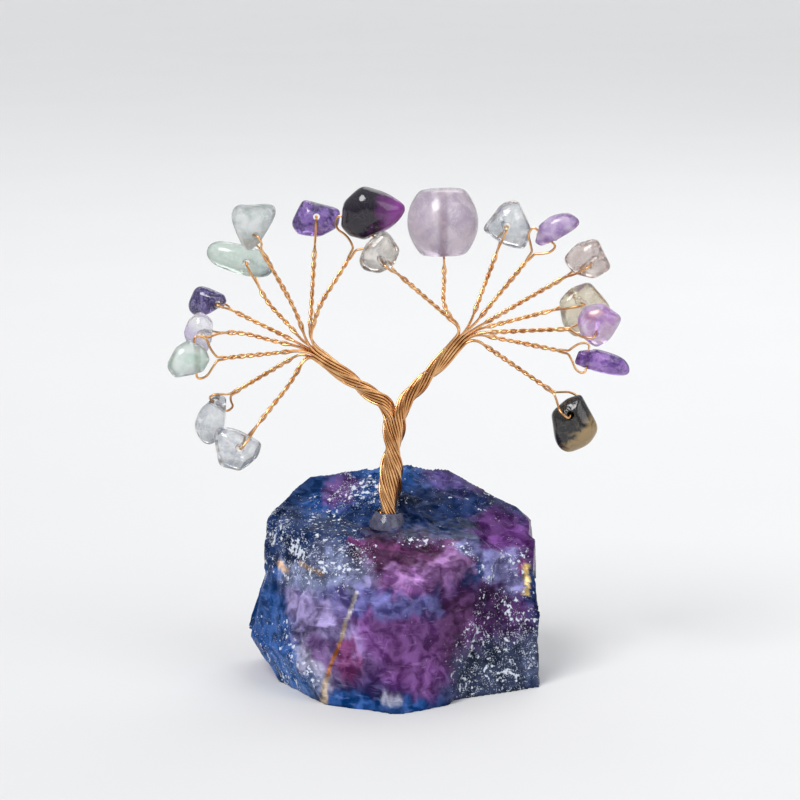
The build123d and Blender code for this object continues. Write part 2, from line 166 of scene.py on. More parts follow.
def ring_quads(rows: int, columns: int, closed: bool) -> Array:
    """Corner indices of the quads of a grid whose columns close into rings.

    Args:
        rows: Rings in the grid.
        columns: Points in each ring.
        closed: Whether the last ring joins the first.

    Returns:
        An array with four indices for each quad.
    """
    last = rows if closed else rows - 1
    row = np.arange(last)[:, None]
    column = np.arange(columns)[None, :]
    after = (column + 1) % columns
    below = (row + 1) % rows
    here = row * columns
    under = below * columns
    corners = (here + column, under + column, under + after, here + after)
    return np.stack(np.broadcast_arrays(*corners), -1).reshape(-1, 4)


def add_object(name: str, data: bpy.types.ID) -> Piece:
    """Makes an object of a mesh, a lamp or a camera, and links it to the scene."""
    made = bpy.data.objects.new(name, data)
    bpy.context.scene.collection.objects.link(made)
    return made


def mesh_piece(name: str, points: Array, faces: list[list[int]]) -> Piece:
    """Makes a mesh object at the origin, shaded smooth.

    Args:
        name: Name of the piece.
        points: Vertices in metres.
        faces: Corner indices of each face, in the order that turns it outwards.

    Returns:
        The new object, linked to the scene.
    """
    mesh = bpy.data.meshes.new(name)
    mesh.from_pydata(points.reshape(-1, 3).tolist(), [], faces)
    mesh.polygons.foreach_set("use_smooth", np.full(len(mesh.polygons), True))
    mesh.update()
    return add_object(name, mesh)


class Nodes:
    """Adds nodes to one node tree and links them by socket name."""

    def __init__(self, tree: Tree) -> None:
        """Keeps the tree that the nodes go into."""
        self.tree = tree

    def fill(self, node: Node, inputs: dict) -> Node:
        """Sets or links a node's inputs.

        Args:
            node: The node.
            inputs: Values or output sockets, by name or index.

        Returns:
            The same node.
        """
        for key, value in inputs.items():
            if isinstance(value, Socket):
                self.tree.links.new(value, node.inputs[key])
            else:
                node.inputs[key].default_value = value
        return node

    def add(self, kind: str, inputs: dict | None = None, **settings: object) -> Node:
        """Adds a node.

        Args:
            kind: The node's type, without its ShaderNode prefix.
            inputs: Values or output sockets for its inputs, by name or index.
            settings: Values for the node's own properties.

        Returns:
            The node.
        """
        node = self.tree.nodes.new("ShaderNode" + kind)
        for key, value in settings.items():
            setattr(node, key, value)
        return self.fill(node, inputs or {})

    def group(self, effect: "Effect", inputs: dict) -> Node:
        """Places a shared node group, with its own input values."""
        node = self.tree.nodes.new("ShaderNodeGroup")
        node.node_tree = effect.tree()
        return self.fill(node, inputs)

    def math(self, operation: str, first: object, second: object = 0.0) -> Socket:
        """Adds one operation on two values and gives its result."""
        return self.add("Math", {0: first, 1: second}, operation=operation).outputs[0]

    def times(self, first: object, second: object) -> Socket:
        """Adds a product of two values and gives its result."""
        return self.math("MULTIPLY", first, second)

    def mix(self, share: object, first: object, second: object) -> Socket:
        """Adds a blend of two colours and gives its result."""
        return self.add("Mix", {0: share, 6: first, 7: second}, data_type="RGBA").outputs[2]

    def ramp(self, value: object, low: object, high: object) -> Socket:
        """Stretches a value so that low becomes 0 and high becomes 1, with soft ends."""
        inputs = {"Value": value, "From Min": low, "From Max": high}
        return self.add("MapRange", inputs, interpolation_type="SMOOTHSTEP").outputs["Result"]

    def bump(self, height: object, strength: float, depth_mm: float) -> Socket:
        """Turns a height into a bumped normal."""
        inputs = {"Strength": strength, "Distance": depth_mm * MM, "Height": height}
        return self.add("Bump", inputs).outputs["Normal"]

    def noise(self, place: Socket, scale: object, detail: float, distortion: float = 0.0) -> Socket:
        """Adds cloudy noise and gives its value."""
        inputs = {"Vector": place, "Scale": scale, "Detail": detail, "Distortion": distortion}
        return self.add("TexNoise", inputs).outputs["Fac"]

    def skin(self, size_mm: float, roughness: float, spread: float) -> tuple[Socket, Socket]:
        """Places the worn skin and gives its height and its roughness."""
        node = self.group(Effect.SKIN, {"Size": size_mm, "Roughness": roughness, "Spread": spread})
        return node.outputs["Height"], node.outputs["Roughness"]

    def millimetres(self) -> Socket:
        """Object coordinates in millimetres."""
        place = self.add("TexCoord").outputs["Object"]
        return self.add("VectorMath", {0: place, 3: 1 / MM}, operation="SCALE").outputs[0]


class Effect(Enum):
    """Shader node groups that more than one finish uses."""

    CLOUD = "cloud_inside_stone"
    SKIN = "worn_skin"
    SUGAR = "sugar_frost"

    def tree(self) -> Tree:
        """The group's node tree, built when it is first asked for."""
        found = bpy.data.node_groups.get(self.value)
        if found:
            return found
        made = bpy.data.node_groups.new(self.value, "ShaderNodeTree")
        {Effect.CLOUD: build_cloud, Effect.SKIN: build_skin, Effect.SUGAR: build_sugar}[self](made)
        return made


def group_ends(tree: Tree, inputs: dict[str, float], outputs: tuple[str, ...]) -> tuple:
    """Gives a group its sockets.

    Args:
        tree: The group's node tree.
        inputs: Names and default values of its inputs.
        outputs: Names of its outputs.

    Returns:
        The group's input node's sockets and its output node's sockets.
    """
    for name, value in inputs.items():
        tree.interface.new_socket(name, in_out="INPUT", socket_type="NodeSocketFloat").default_value = value
    for name in outputs:
        tree.interface.new_socket(name, in_out="OUTPUT", socket_type="NodeSocketFloat")
    return tree.nodes.new("NodeGroupInput").outputs, tree.nodes.new("NodeGroupOutput").inputs


def build_cloud(tree: Tree) -> None:
    """Soft clouds and thin bright veils, as inside quartz and fluorite."""
    given, result = group_ends(tree, {"Size": 3.0, "Contrast": 0.3, "Seed": 0.0}, ("Cloud", "Veil"))
    nodes = Nodes(tree)
    place = nodes.add("VectorMath", {0: nodes.millimetres(), 1: given["Seed"]}).outputs[0]
    scale = nodes.math("DIVIDE", 1.0, given["Size"])
    noise = nodes.noise(place, scale, detail=3.0, distortion=0.6)
    low = nodes.math("SUBTRACT", 0.5, given["Contrast"])
    high = nodes.math("ADD", 0.5, given["Contrast"])
    tree.links.new(nodes.ramp(noise, low, high), result["Cloud"])
    veil_scale = nodes.times(scale, VEIL_SCALE)
    veil = nodes.noise(place, veil_scale, detail=4.0, distortion=1.4)
    off_middle = nodes.math("ABSOLUTE", nodes.math("SUBTRACT", veil, 0.5))
    tree.links.new(nodes.ramp(off_middle, VEIL_HALF_WIDTH, 0.0), result["Veil"])


def build_skin(tree: Tree) -> None:
    """Fine unevenness of a worn or drawn surface, as a height and a roughness that varies with it."""
    sockets = {"Size": 0.5, "Roughness": 0.2, "Spread": 0.1}
    given, result = group_ends(tree, sockets, ("Height", "Roughness"))
    nodes = Nodes(tree)
    scale = nodes.math("DIVIDE", 1.0, given["Size"])
    noise = nodes.noise(nodes.millimetres(), scale, detail=4.0)
    tree.links.new(noise, result["Height"])
    centred = nodes.times(nodes.math("SUBTRACT", noise, 0.5), 2.0)
    rough = nodes.math("ADD", given["Roughness"], nodes.times(centred, given["Spread"]))
    tree.links.new(rough, result["Roughness"])


def build_sugar(tree: Tree) -> None:
    """Crystal grains: a mask of pale broken specks, and the height of the grains."""
    given, result = group_ends(tree, {"Grain": 0.5, "Amount": 0.5}, ("Mask", "Height"))
    nodes = Nodes(tree)
    scale = nodes.math("DIVIDE", 1.0, given["Grain"])
    place = nodes.millimetres()
    coarse_scale = nodes.times(scale, SUGAR_COARSE_SCALE)
    fine_scale = nodes.times(scale, SUGAR_FINE_SCALE)
    coarse = nodes.noise(place, coarse_scale, detail=5.0)
    grain = nodes.add("TexVoronoi", {"Vector": place, "Scale": scale}, feature="F1")
    fine = nodes.noise(place, fine_scale, detail=6.0)
    broad = nodes.times(coarse, SUGAR_COARSE_SHARE)
    speck = nodes.math("ADD", broad, nodes.times(fine, 1 - SUGAR_COARSE_SHARE))
    edge = nodes.math("SUBTRACT", SUGAR_EDGE, nodes.times(given["Amount"], SUGAR_EDGE_DROP))
    over = nodes.math("SUBTRACT", speck, edge)
    tree.links.new(nodes.ramp(over, 0.0, SUGAR_SOFTNESS), result["Mask"])
    tree.links.new(nodes.math("SUBTRACT", 1.0, grain.outputs["Distance"]), result["Height"])


def new_material(name: str) -> tuple[Material, Nodes, Node]:
    """Starts a material with one Principled shader.

    Args:
        name: The material's name.

    Returns:
        The material, its node helper and its Principled node.
    """
    material = bpy.data.materials.new(name)
    material.use_nodes = True
    tree = material.node_tree
    tree.nodes.clear()
    nodes = Nodes(tree)
    shader = nodes.add("BsdfPrincipled")
    nodes.add("OutputMaterial", {"Surface": shader.outputs["BSDF"]})
    return material, nodes, shader


@dataclass(frozen=True)
class CopperFinish:
    """Bright drawn copper wire with browner, duller places."""

    bright: Colour = (0.93, 0.57, 0.27)
    brown: Colour = (0.58, 0.27, 0.10)
    patch_mm: float = 2.2
    roughness: float = 0.2
    spread: float = 0.1
    draw_line_mm: float = 0.12
    draw_depth_mm: float = 0.02
    draw_strength: float = 0.15
    patch_contrast: float = 0.25

    def material(self) -> Material:
        """Builds the material."""
        material, nodes, shader = new_material("copper_wire")
        patch = nodes.group(Effect.CLOUD, {"Size": self.patch_mm, "Contrast": self.patch_contrast})
        tint = nodes.mix(patch.outputs["Cloud"], (*self.bright, 1), (*self.brown, 1))
        height, rough = nodes.skin(self.draw_line_mm, self.roughness, self.spread)
        bump = nodes.bump(height, self.draw_strength, self.draw_depth_mm)
        nodes.fill(shader, {"Metallic": 1.0, "Base Color": tint, "Roughness": rough, "Normal": bump})
        return material


@dataclass(frozen=True)
class StoneFinish:
    """A tumbled stone: a body colour and a second colour in clouds, bright veils, and how much light goes
    through.

    Where lean is given, the second colour gathers along that way instead, beyond lean_from millimetres
    from the stone's middle, and lean's length is one over the millimetres in which it comes in.
    """

    body: Colour
    second: Colour
    clear: float = 0.7
    milk: float = 0.4
    roughness: float = 0.05
    cloud_mm: float = 2.0
    contrast: float = 0.12
    veil: float = 0.35
    veil_tint: Colour = (0.93, 0.93, 0.95)
    pit_mm: float = 0.0
    lean: Way = (0.0, 0.0, 0.0)
    lean_from: float = 0.0
    ragged: float = 0.5
    seed_step_mm: float = 7.3
    spread_share: float = 0.6
    dimple_mm: float = 1.3
    dimple_depth_mm: float = 0.2
    dimple_strength: float = 0.4
    pit_amount: float = 0.35
    glow_mm: float = 1.6
    glow: Way = (1.0, 0.9, 1.0)
    bending: float = 1.5
    coat: float = 0.3
    coat_roughness: float = 0.04

    def share(self, nodes: Nodes, cloud: Socket, middle: Array) -> Socket:
        """How much of the second colour shows: the clouds, or a lean with clouded edges.

        Args:
            nodes: Helper for the material's nodes.
            cloud: The clouds' mask.
            middle: The stone's middle in millimetres.

        Returns:
            The share, from 0 to 1.
        """
        if not any(self.lean):
            return cloud
        place = nodes.add("VectorMath", {0: nodes.millimetres(), 1: middle.tolist()}, operation="SUBTRACT")
        inputs = {0: place.outputs[0], 1: self.lean}
        along = nodes.add("VectorMath", inputs, operation="DOT_PRODUCT").outputs["Value"]
        ragged = nodes.times(nodes.math("SUBTRACT", cloud, 0.5), self.ragged)
        start = self.lean_from * math.hypot(*self.lean)
        return nodes.ramp(nodes.math("ADD", along, ragged), start, start + 1.0)

    def material(self, name: str, seed: int, middle: Array) -> Material:
        """Builds the material.

        Args:
            name: Name of the stone.
            seed: Shifts its clouds, so that no two stones match.
            middle: The stone's middle in millimetres.

        Returns:
            The material.
        """
        material, nodes, shader = new_material(name)
        inputs = {"Size": self.cloud_mm, "Contrast": self.contrast, "Seed": self.seed_step_mm * seed}
        cloud = nodes.group(Effect.CLOUD, inputs)
        share = self.share(nodes, cloud.outputs["Cloud"], middle)
        tint = nodes.mix(share, (*self.body, 1), (*self.second, 1))
        veil = nodes.times(cloud.outputs["Veil"], self.veil)
        tint = nodes.mix(veil, tint, (*self.veil_tint, 1))
        height, rough = nodes.skin(self.dimple_mm, self.roughness, self.spread_share * self.roughness)
        if self.pit_mm:
            pits = nodes.group(Effect.SUGAR, {"Grain": self.pit_mm, "Amount": self.pit_amount})
            height = nodes.math("SUBTRACT", height, pits.outputs["Mask"])
        ends = {
            "Base Color": tint, "Roughness": rough,
            "Normal": nodes.bump(height, self.dimple_strength, self.dimple_depth_mm),
            "Subsurface Weight": self.milk, "Subsurface Radius": self.glow,
            "Subsurface Scale": self.glow_mm * MM, "Transmission Weight": self.clear, "IOR": self.bending,
            "Coat Weight": self.coat, "Coat Roughness": self.coat_roughness,
        }
        nodes.fill(shader, ends)
        return material


@dataclass(frozen=True)
class FluoriteFinish:
    """Rough fluorite: painted colour zones, level wisps, clouds, and pale sugar frost on the broken faces.

    The fields light, dark and pale hold factors on a zone's brightness and saturation.
    """

    sugar: Colour = (0.74, 0.79, 0.90)
    grain_mm: float = 1.1
    salt_mm: float = 0.32
    cloud_mm: float = 1.8
    cloud_contrast: float = 0.16
    light: Pair = (1.5, 0.92)
    dark: Pair = (0.55, 1.1)
    pale: Pair = (3.0, 0.75)
    wisp_mm: Way = (2.4, 2.4, 0.5)
    wisp_range: Pair = (0.56, 0.74)
    wisp_share: float = 0.35
    grain_share: float = 0.9
    salt_share: float = 0.55
    frost_full: float = 0.6
    frost_roughness: float = 0.3
    skin_mm: float = 0.35
    roughness: float = 0.22
    spread: float = 0.2
    grain_height: float = 0.5
    relief_mm: float = 0.1
    relief_strength: float = 0.45
    milk: float = 0.15
    glow: Way = (0.8, 0.6, 1.0)
    glow_mm: float = 1.0
    bending: float = 1.43
    shine: float = 0.06

    def wisps(self, nodes: Nodes) -> Socket:
        """Mask of pale streaks along the growth layers: noise that is stretched along the table."""
        stretch = [1 / size for size in self.wisp_mm]
        inputs = {0: nodes.millimetres(), 1: stretch}
        place = nodes.add("VectorMath", inputs, operation="MULTIPLY").outputs[0]
        noise = nodes.noise(place, 1.0, detail=4.0, distortion=0.5)
        return nodes.ramp(noise, *self.wisp_range)

    def shade(self, nodes: Nodes, zone: Socket, change: Pair) -> Socket:
        """A zone's colour with its brightness and saturation changed."""
        inputs = {"Color": zone, "Value": change[0], "Saturation": change[1]}
        return nodes.add("HueSaturation", inputs).outputs["Color"]

    def material(self) -> Material:
        """Builds the material, which reads the block's zone and frost attributes."""
        material, nodes, shader = new_material("rough_fluorite")
        zone = nodes.add("Attribute", attribute_name="zone").outputs["Color"]
        frost = nodes.add("Attribute", attribute_name="frost").outputs["Fac"]
        cloud = nodes.group(Effect.CLOUD, {"Size": self.cloud_mm, "Contrast": self.cloud_contrast})
        light = self.shade(nodes, zone, self.light)
        dark = self.shade(nodes, zone, self.dark)
        tint = nodes.mix(cloud.outputs["Cloud"], light, dark)
        pale = self.shade(nodes, zone, self.pale)
        tint = nodes.mix(nodes.times(self.wisps(nodes), self.wisp_share), tint, pale)
        sugar = nodes.group(Effect.SUGAR, {"Grain": self.grain_mm, "Amount": frost})
        salt = nodes.group(Effect.SUGAR, {"Grain": self.salt_mm, "Amount": frost})
        grains = nodes.times(sugar.outputs["Mask"], self.grain_share)
        salts = nodes.times(salt.outputs["Mask"], self.salt_share)
        flecks = nodes.math("MAXIMUM", grains, salts)
        speck = nodes.times(flecks, nodes.ramp(frost, 0.0, self.frost_full))
        tint = nodes.mix(speck, tint, (*self.sugar, 1))
        height, rough = nodes.skin(self.skin_mm, self.roughness, self.spread)
        duller = nodes.times(speck, self.frost_roughness)
        raised = nodes.times(sugar.outputs["Height"], self.grain_height)
        height = nodes.math("ADD", raised, height)
        ends = {
            "Base Color": tint, "Roughness": nodes.math("ADD", rough, duller),
            "Normal": nodes.bump(height, self.relief_strength, self.relief_mm),
            "Subsurface Weight": self.milk, "Subsurface Radius": self.glow,
            "Subsurface Scale": self.glow_mm * MM, "IOR": self.bending, "Specular IOR Level": self.shine,
        }
        nodes.fill(shader, ends)
        return material


@dataclass(frozen=True)
class GlueFinish:
    """Clear set glue with a little dust in it."""

    tint: Colour = (0.20, 0.20, 0.32)
    dust: Colour = (0.10, 0.10, 0.18)
    cloud_mm: float = 0.8
    contrast: float = 0.2
    skin_mm: float = 0.4
    roughness: float = 0.14
    spread: float = 0.1
    relief_mm: float = 0.1
    relief_strength: float = 0.3
    clear: float = 0.5
    bending: float = 1.46

    def material(self) -> Material:
        """Builds the material."""
        material, nodes, shader = new_material("clear_glue")
        cloud = nodes.group(Effect.CLOUD, {"Size": self.cloud_mm, "Contrast": self.contrast})
        height, rough = nodes.skin(self.skin_mm, self.roughness, self.spread)
        ends = {
            "Base Color": nodes.mix(cloud.outputs["Cloud"], (*self.tint, 1), (*self.dust, 1)),
            "Roughness": rough,
            "Normal": nodes.bump(height, self.relief_strength, self.relief_mm),
            "Transmission Weight": self.clear,
            "IOR": self.bending,
        }
        nodes.fill(shader, ends)
        return material


# Clear stones: the grey second colour is painted shade inside the stone, laid as clouds
CLEAR_WITH_SHADE = StoneFinish((0.92, 0.93, 0.94), (0.46, 0.49, 0.53), clear=0.9, roughness=0.04, veil=0.7)
FINISHES = {
    "chip_deep_amethyst": StoneFinish(
        (0.012, 0.008, 0.018), (0.26, 0.03, 0.30), clear=0.2, milk=0.2, cloud_mm=3.0, contrast=0.15,
        veil=0.05, veil_tint=(0.45, 0.30, 0.50), lean=(0.4, 0.0, -0.1), lean_from=1.2,
    ),
    "chip_milky_triangle": StoneFinish(
        (0.88, 0.90, 0.89), (0.60, 0.66, 0.65), clear=0.62, milk=0.8, roughness=0.06, cloud_mm=2.2,
        veil=0.7,
    ),
    "chip_mint_oval": StoneFinish((0.62, 0.78, 0.70), (0.88, 0.93, 0.90), clear=0.72, milk=0.7, veil=0.6),
    "chip_clear_half_round": CLEAR_WITH_SHADE,
    "chip_violet_amethyst": StoneFinish(
        (0.42, 0.24, 0.72), (0.07, 0.03, 0.19), clear=0.75, roughness=0.04, cloud_mm=1.7, contrast=0.08,
    ),
    "chip_green_oblong": StoneFinish(
        (0.68, 0.79, 0.72), (0.38, 0.46, 0.50), clear=0.72, milk=0.6, veil=0.6, lean=(0.35, 0.0, 0.0),
        lean_from=0.8,
    ),
    "chip_indigo_shard": StoneFinish(
        (0.05, 0.035, 0.15), (0.20, 0.15, 0.40), clear=0.45, cloud_mm=1.5, contrast=0.08,
    ),
    "chip_lilac_clear": StoneFinish(
        (0.88, 0.88, 0.92), (0.48, 0.36, 0.66), clear=0.86, roughness=0.04, veil=0.6,
        lean=(-0.35, 0.0, -0.35), lean_from=-0.2,
    ),
    "chip_clear_drop": CLEAR_WITH_SHADE,
    "barrel_bead": StoneFinish(
        (0.80, 0.70, 0.78), (0.52, 0.43, 0.55), clear=0.68, milk=0.8, roughness=0.2, cloud_mm=2.6,
        contrast=0.14,
    ),
    "chip_clear_wedge": CLEAR_WITH_SHADE,
    "chip_honey_clear": StoneFinish((0.90, 0.84, 0.68), (0.60, 0.52, 0.38), clear=0.84, veil=0.5),
    "chip_violet_oblong": StoneFinish(
        (0.52, 0.28, 0.76), (0.12, 0.03, 0.30), milk=0.5, roughness=0.04, cloud_mm=2.2, contrast=0.08,
    ),
    "chip_smoky_pebble": StoneFinish(
        (0.84, 0.79, 0.73), (0.40, 0.37, 0.34), clear=0.86, roughness=0.04, cloud_mm=1.8, veil=0.6,
    ),
    "chip_lilac_splinter": StoneFinish(
        (0.76, 0.62, 0.84), (0.42, 0.26, 0.58), clear=0.62, milk=0.6, roughness=0.06, cloud_mm=1.8,
        veil=0.4, pit_mm=0.4,
    ),
    "chip_rose_clear": StoneFinish(
        (0.90, 0.82, 0.78), (0.60, 0.50, 0.47), clear=0.8, milk=0.5, cloud_mm=1.9, veil=0.55,
    ),
    "chip_pale_violet": StoneFinish((0.62, 0.36, 0.76), (0.86, 0.74, 0.90), milk=0.55, veil=0.45),
    "chip_black_gold": StoneFinish(
        (0.012, 0.012, 0.014), (0.32, 0.22, 0.10), clear=0.0, milk=0.1, roughness=0.07, cloud_mm=1.4,
        contrast=0.1, veil=0.1, veil_tint=(0.50, 0.42, 0.30), pit_mm=0.5, lean=(0.4, 0.0, -0.4),
        lean_from=1.5,
    ),
}


@dataclass
class GemStone:
    """One drilled stone: the frame's solid, rounded by tumbling, with its hole right through."""

    name: str
    pivot: Array
    axis: Array
    seed: int
    dent_share: float
    rounding: int
    hole_radius_mm: float = 0.45
    lip_share: float = 1.3
    around: int = 128
    along: int = 72
    wall_rows: int = 6
    wall_ends: Pair = (0.04, 0.96)
    wall_slack: float = 1.05
    dent_mm: float = 4.5
    proud_limit_mm: float = 0.12
    least_offset: float = 0.02

    def facets(self, node: Piece) -> tuple[Array, Array]:
        """Corners and outward unit normals of the solid's triangles.

        Args:
            node: The frame's object for the stone.

        Returns:
            The three corners of each triangle, and the triangles' normals.
        """
        mesh = node.data
        mesh.calc_loop_triangles()
        corners = np.empty(3 * len(mesh.vertices), np.float32)
        mesh.vertices.foreach_get("co", corners)
        triangles = np.empty(3 * len(mesh.loop_triangles), np.int32)
        mesh.loop_triangles.foreach_get("vertices", triangles)
        corners = corners.reshape(-1, 3)[triangles.reshape(-1, 3)].astype(float)
        normals = np.cross(corners[:, 1] - corners[:, 0], corners[:, 2] - corners[:, 0])
        sizes = np.linalg.norm(normals, axis=1)
        kept = sizes > LEAST_AREA
        return corners[kept], normals[kept] / sizes[kept, None]

    def basis(self) -> tuple[Array, Array]:
        """Two unit vectors square to the hole and to each other."""
        helper = np.eye(3)[np.abs(self.axis).argmin()]
        first = np.cross(self.axis, helper)
        first /= np.linalg.norm(first)
        return first, np.cross(self.axis, first)

    def surface(self, node: Piece) -> Array:
        """Grid of points: rings round the hole, out over the stone and back through the hole.

        Along a direction from the middle of the hole, the skin lies where the nearest facet's plane is
        met, among the planes that have the whole solid behind them. That distance is averaged with its
        neighbours several times, which rounds the edges, and rolling noise adds dents. The rings start
        and end at the hole's two lips.

        Args:
            node: The frame's object for the stone.

        Returns:
            Points in metres, by ring and place in the ring.
        """
        corners, normals = self.facets(node)
        hole = self.hole_radius_mm * MM
        places = corners.reshape(-1, 3) - self.pivot
        rise = places @ self.axis
        wall = rise[np.linalg.norm(places - rise[:, None] * self.axis, axis=1) < self.wall_slack * hole]
        middle = self.pivot + self.axis * (wall.min() + wall.max()) / 2
        half = (wall.max() - wall.min()) / 2
        starts = corners[:, 0] - middle
        offsets = (starts * normals).sum(1)
        proud = (starts @ normals.T).max(0) - offsets
        holding = (offsets > self.least_offset * hole) & (proud < self.proud_limit_mm * MM)
        rates = (normals[holding] / offsets[holding, None]).T

        first, second = self.basis()
        turn = np.linspace(0, 2 * math.pi, self.around, endpoint=False)
        mouth = math.atan2(self.lip_share * hole, half)
        tilt = np.linspace(mouth, math.pi - mouth, self.along)
        spoke = np.cos(turn)[:, None] * first + np.sin(turn)[:, None] * second
        ways = np.sin(tilt)[:, None, None] * spoke + np.cos(tilt)[:, None, None] * self.axis
        reach = 1 / (ways.reshape(-1, 3) @ rates).max(1).reshape(self.along, self.around)
        for _ in range(self.rounding):
            reach = (np.roll(reach, 1, 1) + 2 * reach + np.roll(reach, -1, 1)) / 4
            padded = np.pad(reach, ((1, 1), (0, 0)), "edge")
            reach = (padded[:-2] + 2 * reach + padded[2:]) / 4
        dents = wave_noise(ways * reach[..., None] / MM, self.dent_mm, self.seed)
        reach = reach * (1 + self.dent_share * dents)
        skin = ways * reach[..., None]

        # The lips are true circles, and the wall of the hole joins them
        height = skin @ self.axis
        lip = self.lip_share * hole
        skin[0] = spoke * lip + height[0][:, None] * self.axis
        skin[-1] = spoke * lip + height[-1][:, None] * self.axis
        shares = np.linspace(*self.wall_ends, self.wall_rows)[:, None]
        levels = height[-1] * (1 - shares) + height[0] * shares
        inner = spoke * hole + levels[..., None] * self.axis
        return middle + np.concatenate([skin, inner])

    def build(self, frame: dict) -> Piece:
        """Makes the stone, gives it its finish and puts it in place of the frame's solid.


        Returns:
            The new piece.
        """
        points = self.surface(frame["nodes"][self.name])
        quads = ring_quads(len(points), self.around, closed=True)
        piece = mesh_piece("stone_" + self.name, points, quads.tolist())
        middle = points.reshape(-1, 3).mean(0) / MM
        piece.data.materials.append(FINISHES[self.name].material(self.name, self.seed, middle))
        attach(piece, self.name)
        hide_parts(self.name)
        return piece


@dataclass
class StoneCrown:
    """All the stones, each on its own hinge. The bead is turned, so it is less dented than a chip."""

    bead: str = "barrel_bead"
    bead_dents: float = 0.004
    bead_rounding: int = 6
    chip_dents: float = 0.025
    chip_rounding: int = 12

    def build(self, frame: dict) -> list[Piece]:
        """Makes a stone for each hinge of the frame."""
        made = []
        for index, joint in enumerate(frame["joints"]):
            turned = joint["child"] == self.bead
            axis = np.array(joint["axis"])
            gem = GemStone(
                joint["child"],
                np.array(joint["pos_m"]),
                axis / np.linalg.norm(axis),
                seed=index + 1,
                dent_share=self.bead_dents if turned else self.chip_dents,
                rounding=self.bead_rounding if turned else self.chip_rounding,
            )
            made.append(gem.build(frame))
        return made


@dataclass
class WireTree:
    """The twisted wires, which the frame already shapes strand by strand."""

    finish: CopperFinish = CopperFinish()
    weld_mm: float = 0.0005
    sharp_edge: float = 50.0

    def smooth_copy(self, node: Piece) -> Piece:
        """Copies a wire, joins its loose triangles and shades it smooth, except round its cut ends.

        Args:
            node: The frame's object for the wire.

        Returns:
            The new piece.
        """
        mesh = bpy.data.meshes.new("drawn_" + node.name)
        work = bmesh.new()
        work.from_mesh(node.data)
        bmesh.ops.remove_doubles(work, verts=work.verts, dist=self.weld_mm * MM)
        work.to_mesh(mesh)
        work.free()
        mesh.polygons.foreach_set("use_smooth", np.full(len(mesh.polygons), True))
        mesh.set_sharp_from_angle(angle=math.radians(self.sharp_edge))
        return add_object("drawn_" + node.name, mesh)

    def build(self, frame: dict) -> list[Piece]:
        """Makes a smooth copper wire in place of each wire of the frame."""
        material = self.finish.material()
        made = []
        for name in sorted(name for name in frame["nodes"] if name.startswith("wire_")):
            piece = self.smooth_copy(frame["nodes"][name])
            piece.data.materials.clear()
            piece.data.materials.append(material)
            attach(piece, "tree")
            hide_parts(name)
            made.append(piece)
        return made


@dataclass(frozen=True)
class Break:
    """A flat break of the block: where it faces, in degrees, and its reach from the block's heart.

    All three are counted in a block squeezed until its half width, half depth and half height are 1.
    """

    azimuth: float
    elevation: float
    reach: float


@dataclass(frozen=True)
class Zone:
    """A soft patch or streak of colour, seen from the front, in mm right of and above the block's foot."""

    start: Spot
    end: Spot
    radius: float
    tint: Colour
    strength: float = 1.0


NAVY = (0.005, 0.024, 0.095)
INK = (0.006, 0.018, 0.070)
BLUE = (0.009, 0.060, 0.230)
INDIGO = (0.080, 0.075, 0.230)
# Pale blue of a painted highlight along the front lump's ridge
RIDGE_HIGHLIGHT_BLUE = (0.160, 0.160, 0.360)
AZURE = (0.030, 0.095, 0.270)
PURPLE = (0.120, 0.042, 0.170)
PLUM = (0.045, 0.016, 0.070)
MULBERRY = (0.065, 0.020, 0.065)
VIOLET = (0.130, 0.045, 0.180)
LAVENDER = (0.260, 0.210, 0.430)
PINK = (0.270, 0.130, 0.330)
MAGENTA = (0.085, 0.022, 0.135)
WINE = (0.170, 0.040, 0.150)
SLATE = (0.030, 0.042, 0.090)
MIST = (0.140, 0.130, 0.290)
# Pale grey of a painted highlight along the front lump's ridge
RIDGE_HIGHLIGHT_GREY = (0.160, 0.180, 0.270)
FROSTY = (0.150, 0.175, 0.310)
PALE = (0.500, 0.500, 0.640)
CREAM = (0.560, 0.510, 0.520)
SAND = (0.480, 0.370, 0.260)
OCHRE = (0.420, 0.250, 0.120)
RUST = (0.400, 0.140, 0.035)
STRAW = (0.620, 0.440, 0.140)
FROST = (1.0, 1.0, 1.0)
THIN_FROST = (0.12, 0.12, 0.12)

